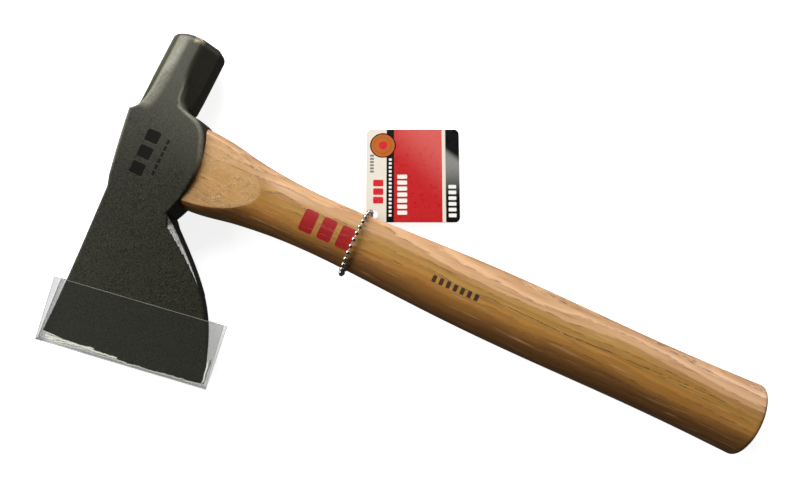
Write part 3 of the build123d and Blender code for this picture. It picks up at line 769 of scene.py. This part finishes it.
def build_head():
    """The forged head: a height over its outline, rounded at each edge, with the eye cut through."""
    plan, blade = head_plan()
    rows, columns = plan.shape[:2]
    outline = np.r_[plan[:, 0], plan[-1, 1:], plan[::-1, -1][1:], plan[0, ::-1][1:]]
    flat = plan.reshape(-1, 2)
    x, y = flat.T
    away = distance_to(flat, outline)
    left = beside_path(flat, np.array(NECK_LEFT))
    right = -beside_path(flat, smooth_path(NECK_RIGHT, 60))
    plate, poll = plate_height(x, y), poll_height(x, y)
    height = np.where(y > POLL_END_Y, poll + (plate - poll) * neck_share(y, left, right), plate)
    # the ground bevel, the cut-back corner, then a small rounding along every edge of the cheeks
    drop = bevel_drop(flat, blade)
    beyond = beyond_path(flat, smooth_path(CHEEK_CORNER, 80))
    fall = ease(y, -6, 0) * (1 - ease(y, 22.6, 25.6)) * ease(x, -0.5, 3.5)
    corner = CORNER_ROUND * np.logaddexp(0, beyond / CORNER_ROUND)
    height = height - drop - CORNER_SLOPE * corner * fall
    radius = np.minimum(np.where(y > SHOULDER[1], *EDGE_RADII), 0.6 * height)
    radius = np.where(drop > 0, BEVEL_RADIUS, radius) * (1 - ease(y, 26, 34) * 0.6)
    inward = np.clip(away / radius, 0, 1)
    height = height - radius * (1 - np.sqrt(np.clip(1 - (1 - inward) ** 2, 0, 1)))
    height = np.maximum(height, EDGE_HALF * 0.4)
    points = np.r_[np.c_[flat, MID_Z + height], np.c_[flat, MID_Z - height]]
    materials = [head_paint(), ground_steel()]
    head = link("head_shell", points, shell_faces(rows, columns), materials, "tool", ["head"])
    # where the paint is rubbed on the cheek's front edge; painted highlights along its rear rim and on the
    # poll's front slant; painted shade, as negative values, on the wall behind the rim
    front = ease(away, 1.8, 0.3) * ease(y, -26, -12) * (x < -12) * 0.6
    rim = np.minimum(np.abs(beyond), np.where(y < 45, np.abs(right), FAR))
    rim = ease(rim, 1.7, 0.1) * ease(y, -8, 8) * (1 - ease(y, 27, 38)) * (x > -8)
    # painted shade: negative values darken the wall behind the rim
    rubbed_and_painted_light = np.maximum(front, rim) - 2 * ease(beyond, 0.5, 1.5) * fall
    # painted highlight: a broad pale band down the poll's front slant and the neck's left side
    painted_highlight_band = ease(left, 7.0, 2.2) * ease(left, -2.2, -0.6) * ease(y, 14, 19) * (x < POLL_X + 3)
    painted_highlight_band = 0.72 * painted_highlight_band * (1 - ease(y, POLL_FACE_Y - POLL_RIM, POLL_FACE_Y - 1))
    wear_and_painted_light = head.data.attributes.new("wear_and_painted_light", "FLOAT", "POINT")
    wear_and_painted_light.data.foreach_set("value", np.tile(np.maximum(rubbed_and_painted_light, painted_highlight_band), 2).astype(np.float32))
    ground = ((drop > 0.25) & (y < THROAT[1] + 0.4)).tolist() * 2
    for polygon in head.data.polygons:
        bare = all(ground[v] for v in polygon.vertices) and abs(polygon.normal.z) > 0.2
        polygon.material_index = 1 if bare else 0
    eye = ellipse_frustum("eye_cutter", EYE_FRONT_X, EYE_REAR_X, 0.0)
    cut(head, eye)
    bpy.data.objects.remove(eye)
    sharpen(head, 40)
    for polygon in head.data.polygons:
        polygon.use_smooth = polygon.normal.y < 0.999  # the striking face is flat
    return head


def ellipse_frustum(name, low_x, high_x, gap, slanted=False, sides=96):
    """The eye's tapering oval, as a closed shape; slanted cuts it along the head's front face."""
    angles = np.linspace(0, 2 * math.pi, sides, endpoint=False)
    face_x = SHOULDER[0] - math.tan(FACE_TURN) * SHOULDER[1] - TENON_PROUD
    points = []
    for x in (low_x, high_x):
        share = (EYE_REAR_X - x) / (EYE_REAR_X - EYE_FRONT_X)
        y = (EYE_HALVES[0] + EYE_FLARE * share - gap) * np.cos(angles)
        z = (EYE_HALVES[1] + EYE_FLARE * share - gap) * np.sin(angles)
        place = face_x + math.tan(FACE_TURN) * y if slanted and x == low_x else x + 0 * y
        points.append(np.c_[place, y, MID_Z + z])
    points = np.r_[points[0], points[1]]
    faces = grid_faces(2, sides, closed=True)
    faces += [tuple(range(sides - 1, -1, -1)), tuple(range(sides, 2 * sides))]
    return link(name, points, faces)


# x, half depth, half thickness and squareness of the handle's sections
HANDLE_STATIONS = [
    (10.0, 20.4, 13.0, 3.4),
    (27.0, 19.7, 12.9, 3.3),
    (43.0, 17.1, 11.7, 2.6),
    (54.0, 15.7, 9.9, 2.3),
    (65.0, 14.7, 9.8, 2.2),
    (90.0, 14.1, 9.8, 2.15),
    (120.0, 15.2, 10.2, 2.2),
    (160.0, 16.9, 11.6, 2.3),
    (205.0, 17.3, 12.4, 2.35),
    (250.0, 16.9, 12.4, 2.35),
    (285.0, 17.3, 12.7, 2.4),
    (318.0, 18.4, 12.9, 2.4),
]
FACET_HALF = 9.9  # the shoulder is sawn flat this far above and below the middle
BUTT_X, BUTT_DOME, BUTT_RISE, BUTT_RIM = 312.5, 46.0, 2.2, 1.6
GRIP_SIDES, GRIP_RINGS, CAP_RINGS = 128, 330, 10


def build_grip():
    """The handle outside the head, with sawn flats at the shoulder and a domed, rounded butt."""
    stations = smooth_path(HANDLE_STATIONS, 400)
    angles = np.linspace(0, 2 * math.pi, GRIP_SIDES, endpoint=False)
    c, s = np.cos(angles), np.sin(angles)
    eye = arc(EYE_TOP, EYE_BACK, THROAT, 80)
    eye_x, eye_y = eye[::-1, 0] + FIT_GAP, eye[::-1, 1]

    def section(x):
        depth, thick, power = (np.interp(x, stations[:, 0], stations[:, k]) for k in (1, 2, 3))
        y = depth * np.sign(c) * np.abs(c) ** (2 / power)
        z = thick * np.sign(s) * np.abs(s) ** (2 / power)
        limit = FACET_HALF + 6 * ease(x, 57, 72)
        z = np.sign(z) * smooth_min(np.abs(z), limit + 0 * z, 0.35)
        return y, z

    def start_x(y):
        return np.interp(y, eye_y, eye_x)

    def dome_x(y, z):
        return BUTT_X - BUTT_DOME + np.sqrt(BUTT_DOME**2 - (y - BUTT_RISE) ** 2 - z**2)

    rings = []
    y, z = section(20.0 + 0 * angles)
    first = start_x(y)
    for share in np.linspace(0.08, 1, CAP_RINGS)[:-1]:
        rings.append(np.c_[start_x(y * share), y * share, z * share])
    y_end, z_end = section(BUTT_X - 6 + 0 * angles)
    last = dome_x(y_end, z_end) - BUTT_RIM * 0.9
    for share in np.linspace(0, 1, GRIP_RINGS):
        x = first + (last - first) * share
        y, z = section(x)
        rings.append(np.c_[x, y, z])
    for turn in np.linspace(0, math.pi / 2, 7)[1:]:
        shrink = 1 - BUTT_RIM * (1 - math.cos(turn)) / np.hypot(y, z)
        x = last + (dome_x(y * shrink, z * shrink) - last) * math.sin(turn)
        rings.append(np.c_[x, y * shrink, z * shrink])
    edge_y, edge_z = rings[-1][:, 1], rings[-1][:, 2]
    for share in np.linspace(1, 0.06, CAP_RINGS)[1:]:
        rings.append(np.c_[dome_x(edge_y * share, edge_z * share), edge_y * share, edge_z * share])
    points = np.concatenate(rings)
    points[:, 2] += MID_Z
    faces = grid_faces(len(rings), GRIP_SIDES, closed=True)
    total = len(points)
    faces += [tuple(range(GRIP_SIDES))[::-1], tuple(range(total - GRIP_SIDES, total))]
    grip = link("grip", points, faces, [hickory("hickory")], "tool", ["handle"])
    sharpen(grip, 50)
    return grip


def filled(node):
    """A CAD piece's convex hull, to cut with: it has no slots where other pieces cross it."""
    shape = bmesh.new()
    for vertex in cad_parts[node].data.vertices:
        shape.verts.new(vertex.co)
    hull = bmesh.ops.convex_hull(shape, input=shape.verts)
    spare = {*hull["geom_interior"], *hull["geom_unused"]}
    spare = [part for part in spare if isinstance(part, bmesh.types.BMVert)]
    bmesh.ops.delete(shape, geom=spare, context="VERTS")
    mesh = bpy.data.meshes.new(node + "_filled")
    shape.to_mesh(mesh)
    shape.free()
    piece = bpy.data.objects.new(node + "_filled", mesh)
    piece.matrix_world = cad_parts[node].matrix_world
    bpy.context.scene.collection.objects.link(piece)
    return piece


def build_tenon():
    """The tenon in the eye, split by its wedges."""
    tenon = ellipse_frustum("tenon", TENON_FRONT_X, TENON_ROOT_X, FIT_GAP, slanted=True)
    tenon.data.materials.append(hickory("hickory_tenon", marks=False, tone=0.85))
    for node in ("wood_wedge", "steel_wedge_upper", "steel_wedge_lower"):
        wedge = filled(node)
        cut(tenon, wedge)
        bpy.data.objects.remove(wedge)
    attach(tenon, "tool")
    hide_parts("handle")
    sharpen(tenon, 30)
    return tenon


build_head()
build_grip()
build_tenon()
dress("wood_wedge", hickory("wedge_wood", marks=False, tone=0.5))
steel = wedge_steel()
dress("steel_wedge_upper", steel)
dress("steel_wedge_lower", steel)
dress("blade_guard", guard_film())
dress("hang_tag", tag_card())
chain_finish = nickel()
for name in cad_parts:
    if name.startswith("chain_"):
        dress(name, chain_finish)

# ----------------------------------------------------------------- studio
CAMERA_TURN = math.radians(24.61)  # the handle slopes down to the right by this much
CAMERA_TILT = math.radians(8.0)
CAMERA_DISTANCE = 0.3724
CAMERA_AIM = Vector((0.124, 0.0087, MID_Z * MM))
LENS = 34.2
LIGHT_AIM = Vector((0.11, -0.01, 0.0))
AMBIENT = 0.045
FLOOR_REACH = 3.0

right = Vector((math.cos(CAMERA_TURN), math.sin(CAMERA_TURN), 0))
flat_up = Vector((-math.sin(CAMERA_TURN), math.cos(CAMERA_TURN), 0))
back = Vector((0, 0, 1)) * math.cos(CAMERA_TILT) - flat_up * math.sin(CAMERA_TILT)
up = flat_up * math.cos(CAMERA_TILT) + Vector((0, 0, 1)) * math.sin(CAMERA_TILT)


def basis(x_axis, y_axis, z_axis, origin):
    """A 4x4 matrix from three axes and a place."""
    rotation = Matrix((x_axis, y_axis, z_axis)).transposed()
    return Matrix.Translation(origin) @ rotation.to_4x4()


camera_data = bpy.data.cameras.new("camera")
camera_data.lens = LENS
camera_data.sensor_width = 36.0
camera_data.clip_start = 0.01
camera = bpy.data.objects.new("camera", camera_data)
camera.matrix_world = basis(right, up, back, CAMERA_AIM + back * CAMERA_DISTANCE)
bpy.context.scene.collection.objects.link(camera)
bpy.context.scene.camera = camera


def softbox(name, side, rise, height, size, power):
    """An area light; side, rise and height are from the middle of the object, along the
    picture's own right and up, and above the floor, in metres."""
    data = bpy.data.lights.new(name, "AREA")
    data.shape = "RECTANGLE"
    data.size, data.size_y = size
    data.energy = power
    light = bpy.data.objects.new(name, data)
    place = LIGHT_AIM + right * side + flat_up * rise + Vector((0, 0, height))
    away = (place - LIGHT_AIM).normalized()
    across = Vector((0, 0, 1)).cross(away).normalized()
    light.matrix_world = basis(across, away.cross(across), away, place)
    bpy.context.scene.collection.objects.link(light)


softbox("key", -0.45, 1.00, 0.62, (1.3, 1.0), 27)
softbox("side", 0.95, 0.50, 0.30, (0.5, 0.4), 2)
softbox("left", -1.00, 0.15, 0.55, (0.6, 0.5), 6)

world = bpy.data.worlds.new("studio")
world.use_nodes = True
tree = world.node_tree
# the room is dim, and pale where it is seen behind the floor
seen = tree.nodes.new("ShaderNodeLightPath").outputs["Is Camera Ray"]
strength = tree.nodes.new("ShaderNodeMapRange")
strength.inputs["To Min"].default_value = AMBIENT
strength.inputs["To Max"].default_value = 1.0
tree.links.new(seen, strength.inputs["Value"])
tree.links.new(strength.outputs[0], tree.nodes["Background"].inputs["Strength"])
tree.nodes["Background"].inputs["Color"].default_value = (1, 1, 1, 1)
bpy.context.scene.world = world
bpy.context.scene.view_settings.view_transform = "Standard"

floor_data = bpy.data.meshes.new("floor")
corners = [(x * FLOOR_REACH, y * FLOOR_REACH, 0) for x, y in ((-1, -1), (1, -1), (1, 1), (-1, 1))]
floor_data.from_pydata(corners, [], [(0, 1, 2, 3)])
floor = bpy.data.objects.new("floor", floor_data)
floor.location.z = cad_low.z - 0.0002
bpy.context.scene.collection.objects.link(floor)
floor_material = bpy.data.materials.new("floor")
floor_material.use_nodes = True
floor_shader = floor_material.node_tree.nodes["Principled BSDF"]
floor_shader.inputs["Base Color"].default_value = (0.86, 0.86, 0.86, 1)
floor_shader.inputs["Roughness"].default_value = 0.9
floor_shader.inputs["Specular IOR Level"].default_value = 0.1
floor_shader.inputs["Emission Color"].default_value = (1, 1, 1, 1)
floor_shader.inputs["Emission Strength"].default_value = 0.85
floor.visible_diffuse = False
floor.visible_glossy = False
floor_data.materials.append(floor_material)
